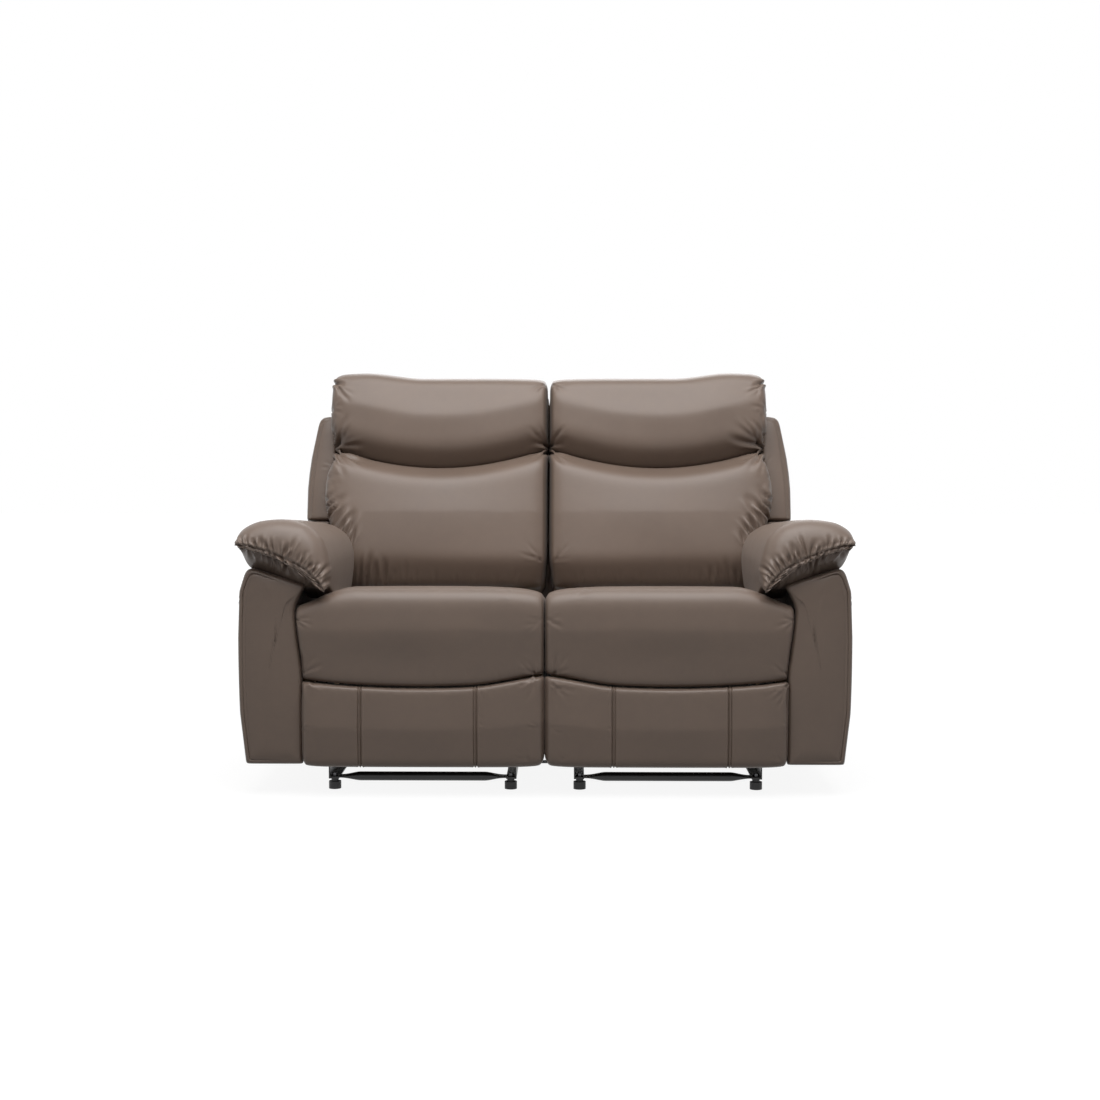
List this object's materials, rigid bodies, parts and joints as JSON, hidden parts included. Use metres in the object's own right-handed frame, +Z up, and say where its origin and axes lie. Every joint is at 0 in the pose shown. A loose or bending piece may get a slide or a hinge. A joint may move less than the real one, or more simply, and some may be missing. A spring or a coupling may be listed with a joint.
{
  "type": "reclining sofa",
  "caption": "Loveseat with separately reclining backs, fold-out footrests, padded arms and a low black steel base.",
  "frame": {"origin": "on the floor below the middle of the whole seat's box", "axes": "+X to the right as seen from the front, +Y to the back, +Z up"},
  "size_m": [1.4702, 0.938, 1.0127],
  "materials": {
    "leather": "smooth coated upholstery cloth, satin",
    "lining": "matt woven lining over board",
    "plywood": "raw plywood",
    "webbing": "elastic webbing",
    "spring_steel": "oiled spring wire",
    "bolt_steel": "zinc plated",
    "black_steel": "satin black powder coat",
    "black_plastic": "moulded, matt"
  },
  "bodies": {
    "root": {"base_side_rails": "black_steel", "base_cross_tubes": "black_steel", "base_feet": "black_plastic", "base_foot_nuts": "bolt_steel", "base_tie_bars": "black_steel"},
    "seat_left": {"arm_frame_left": "plywood", "arm_cover_left": "leather", "arm_pad_left": "leather", "seat_frame_left": "plywood", "seat_springs_left": "spring_steel", "seat_cushion_left": "leather", "mount_plates_left": "black_steel", "rear_valance_left": "lining", "release_cup_left": "black_plastic", "release_cable_left": "black_plastic"},
    "back_left": {"back_frame_left": "plywood", "back_webbing_left": "webbing", "back_shell_left": "leather", "back_wing_left": "leather", "back_brackets_left": "black_steel", "lumbar_cushion_left": "leather", "head_cushion_left": "leather"},
    "footrest_left": {"footrest_board_left": "plywood", "footrest_pad_left": "leather", "footrest_brackets_left": "black_steel"},
    "swing_front_links_left": {"swing_front_links_left": "black_steel"},
    "swing_rear_links_left": {"swing_rear_links_left": "black_steel"},
    "ottoman_drive_links_left": {"ottoman_drive_links_left": "black_steel"},
    "ottoman_main_links_left": {"ottoman_main_links_left": "black_steel"},
    "ottoman_rear_links_left": {"ottoman_rear_links_left": "black_steel"},
    "ottoman_guide_links_left": {"ottoman_guide_links_left": "black_steel"},
    "release_paddle_left": {"release_paddle_left": "black_plastic"},
    "seat_right": {"arm_frame_right": "plywood", "arm_cover_right": "leather", "arm_pad_right": "leather", "seat_frame_right": "plywood", "seat_springs_right": "spring_steel", "seat_cushion_right": "leather", "mount_plates_right": "black_steel", "rear_valance_right": "lining", "release_cup_right": "black_plastic", "release_cable_right": "black_plastic"},
    "back_right": {"back_frame_right": "plywood", "back_webbing_right": "webbing", "back_shell_right": "leather", "back_wing_right": "leather", "back_brackets_right": "black_steel", "lumbar_cushion_right": "leather", "head_cushion_right": "leather"},
    "footrest_right": {"footrest_board_right": "plywood", "footrest_pad_right": "leather", "footrest_brackets_right": "black_steel"},
    "swing_front_links_right": {"swing_front_links_right": "black_steel"},
    "swing_rear_links_right": {"swing_rear_links_right": "black_steel"},
    "ottoman_drive_links_right": {"ottoman_drive_links_right": "black_steel"},
    "ottoman_main_links_right": {"ottoman_main_links_right": "black_steel"},
    "ottoman_rear_links_right": {"ottoman_rear_links_right": "black_steel"},
    "ottoman_guide_links_right": {"ottoman_guide_links_right": "black_steel"},
    "release_paddle_right": {"release_paddle_right": "black_plastic"}
  },
  "joints": [
    {"name": "recline_left", "type": "hinge", "parent": "swing_front_links_left", "child": "seat_left", "pos_m": [-0.299, -0.09929, 0.15276], "axis": [-1, 0, 0], "range_deg": [0, 50]},
    {"name": "swing_front_left", "type": "hinge", "parent": "root", "child": "swing_front_links_left", "pos_m": [-0.299, -0.15, 0.044], "axis": [1, 0, 0], "range_deg": [0, 50.5]},
    {"name": "swing_rear_left", "type": "hinge", "parent": "root", "child": "swing_rear_links_left", "pos_m": [-0.299, 0.15, 0.044], "axis": [1, 0, 0], "range_deg": [0, 50.5]},
    {"name": "back_tilt_left", "type": "hinge", "parent": "seat_left", "child": "back_left", "pos_m": [-0.299, 0.218, 0.365], "axis": [-1, 0, 0], "range_deg": [0, 35.5]},
    {"name": "footrest_left", "type": "hinge", "parent": "seat_left", "child": "ottoman_drive_links_left", "pos_m": [-0.299, -0.354, 0.24], "axis": [-1, 0, 0], "range_deg": [0, 100]},
    {"name": "main_link_left", "type": "hinge", "parent": "ottoman_drive_links_left", "child": "ottoman_main_links_left", "pos_m": [-0.299, -0.34041, 0.11071], "axis": [-1, 0, 0], "range_deg": [-134.5, 0]},
    {"name": "board_tilt_left", "type": "hinge", "parent": "ottoman_main_links_left", "child": "footrest_left", "pos_m": [-0.299, -0.39206, 0.25261], "axis": [-1, 0, 0], "range_deg": [0, 120.5]},
    {"name": "rear_link_left", "type": "hinge", "parent": "seat_left", "child": "ottoman_rear_links_left", "pos_m": [-0.299, -0.30222, 0.24931], "axis": [-1, 0, 0], "range_deg": [0, 90.55]},
    {"name": "guide_link_left", "type": "hinge", "parent": "ottoman_rear_links_left", "child": "ottoman_guide_links_left", "pos_m": [-0.299, -0.26423, 0.0706], "axis": [-1, 0, 0], "range_deg": [-121.52, 0]},
    {"name": "release_left", "type": "hinge", "parent": "seat_left", "child": "release_paddle_left", "pos_m": [-0.724, -0.296, 0.42], "axis": [0, 0, 1], "range_deg": [0, 28], "stiffness_Nm_per_rad": 0.4, "springref_deg": -14.32},
    {"name": "recline_right", "type": "hinge", "parent": "swing_front_links_right", "child": "seat_right", "pos_m": [0.299, -0.09929, 0.15276], "axis": [-1, 0, 0], "range_deg": [0, 50]},
    {"name": "swing_front_right", "type": "hinge", "parent": "root", "child": "swing_front_links_right", "pos_m": [0.299, -0.15, 0.044], "axis": [1, 0, 0], "range_deg": [0, 50.5]},
    {"name": "swing_rear_right", "type": "hinge", "parent": "root", "child": "swing_rear_links_right", "pos_m": [0.299, 0.15, 0.044], "axis": [1, 0, 0], "range_deg": [0, 50.5]},
    {"name": "back_tilt_right", "type": "hinge", "parent": "seat_right", "child": "back_right", "pos_m": [0.299, 0.218, 0.365], "axis": [-1, 0, 0], "range_deg": [0, 35.5]},
    {"name": "footrest_right", "type": "hinge", "parent": "seat_right", "child": "ottoman_drive_links_right", "pos_m": [0.299, -0.354, 0.24], "axis": [-1, 0, 0], "range_deg": [0, 100]},
    {"name": "main_link_right", "type": "hinge", "parent": "ottoman_drive_links_right", "child": "ottoman_main_links_right", "pos_m": [0.299, -0.34041, 0.11071], "axis": [-1, 0, 0], "range_deg": [-134.5, 0]},
    {"name": "board_tilt_right", "type": "hinge", "parent": "ottoman_main_links_right", "child": "footrest_right", "pos_m": [0.299, -0.39206, 0.25261], "axis": [-1, 0, 0], "range_deg": [0, 120.5]},
    {"name": "rear_link_right", "type": "hinge", "parent": "seat_right", "child": "ottoman_rear_links_right", "pos_m": [0.299, -0.30222, 0.24931], "axis": [-1, 0, 0], "range_deg": [0, 90.55]},
    {"name": "guide_link_right", "type": "hinge", "parent": "ottoman_rear_links_right", "child": "ottoman_guide_links_right", "pos_m": [0.299, -0.26423, 0.0706], "axis": [-1, 0, 0], "range_deg": [-121.52, 0]},
    {"name": "release_right", "type": "hinge", "parent": "seat_right", "child": "release_paddle_right", "pos_m": [0.724, -0.296, 0.42], "axis": [0, 0, -1], "range_deg": [0, 28], "stiffness_Nm_per_rad": 0.4, "springref_deg": -14.32}
  ],
  "couplings": [
    {"joint": "swing_front_left", "follows": "recline_left", "ratio": 1},
    {"joint": "swing_rear_left", "follows": "recline_left", "ratio": 1},
    {"joint": "back_tilt_left", "follows": "recline_left", "ratio": 0.7},
    {"joint": "main_link_left", "follows": "footrest_left", "ratio": -1.34},
    {"joint": "board_tilt_left", "follows": "footrest_left", "ratio": 1.2},
    {"joint": "rear_link_left", "follows": "footrest_left", "ratio": 0.90048},
    {"joint": "guide_link_left", "follows": "footrest_left", "ratio": -1.2102},
    {"joint": "swing_front_right", "follows": "recline_right", "ratio": 1},
    {"joint": "swing_rear_right", "follows": "recline_right", "ratio": 1},
    {"joint": "back_tilt_right", "follows": "recline_right", "ratio": 0.7},
    {"joint": "main_link_right", "follows": "footrest_right", "ratio": -1.34},
    {"joint": "board_tilt_right", "follows": "footrest_right", "ratio": 1.2},
    {"joint": "rear_link_right", "follows": "footrest_right", "ratio": 0.90048},
    {"joint": "guide_link_right", "follows": "footrest_right", "ratio": -1.2102}
  ]
}
